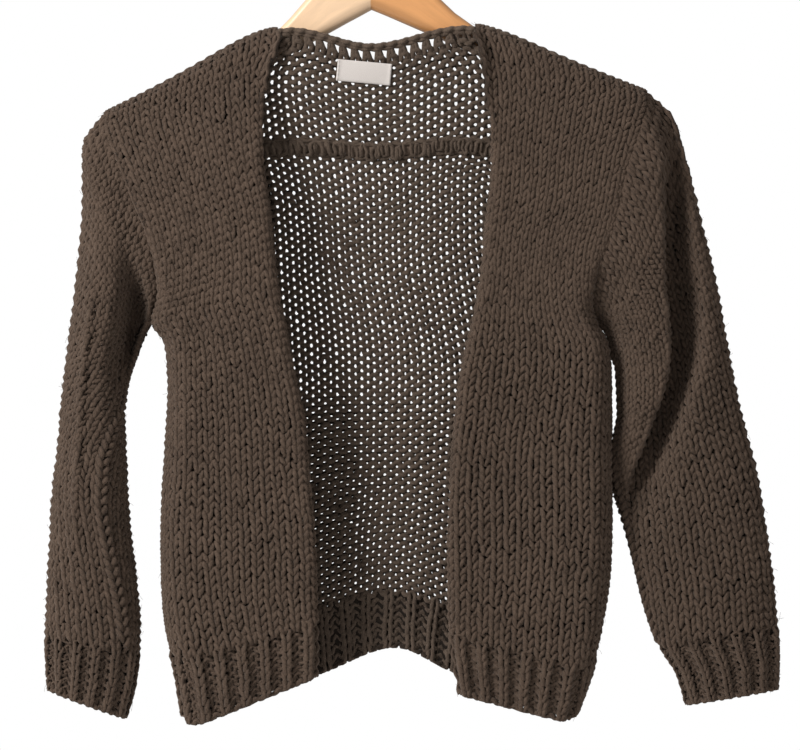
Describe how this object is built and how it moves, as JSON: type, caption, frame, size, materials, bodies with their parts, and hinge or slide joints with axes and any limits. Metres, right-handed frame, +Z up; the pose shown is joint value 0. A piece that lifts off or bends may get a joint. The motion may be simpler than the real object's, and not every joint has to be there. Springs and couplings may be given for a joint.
{
  "type": "cardigan on a hanger",
  "caption": "Child's open-front cardigan knitted in bulky wool, with long sleeves, ribbed hem and cuffs, hanging on a wooden hanger with a metal hook.",
  "frame": {"origin": "inside top of the hanger's hook, where the rail carries it", "axes": "+X to the wearer's left, -Y out of the front, +Z up"},
  "size_m": [0.4646, 0.06, 0.5446],
  "materials": {
    "wool_knit": "bulky brown wool, stocking stitch and 1x1 rib",
    "woven_label": "plain cream woven tape",
    "hanger_wood": "clear satin lacquer on pale wood",
    "hook_metal": "satin plated steel wire"
  },
  "bodies": {
    "root": {"back_panel": "wool_knit", "right_front": "wool_knit", "left_front": "wool_knit", "right_sleeve": "wool_knit", "left_sleeve": "wool_knit", "back_hem_rib": "wool_knit", "right_front_hem_rib": "wool_knit", "left_front_hem_rib": "wool_knit", "right_cuff": "wool_knit", "left_cuff": "wool_knit", "neck_edging": "wool_knit", "back_seam_ridge": "wool_knit", "neck_label": "woven_label", "hanger": "hanger_wood", "hanger_hook": "hook_metal"}
  },
  "joints": []
}
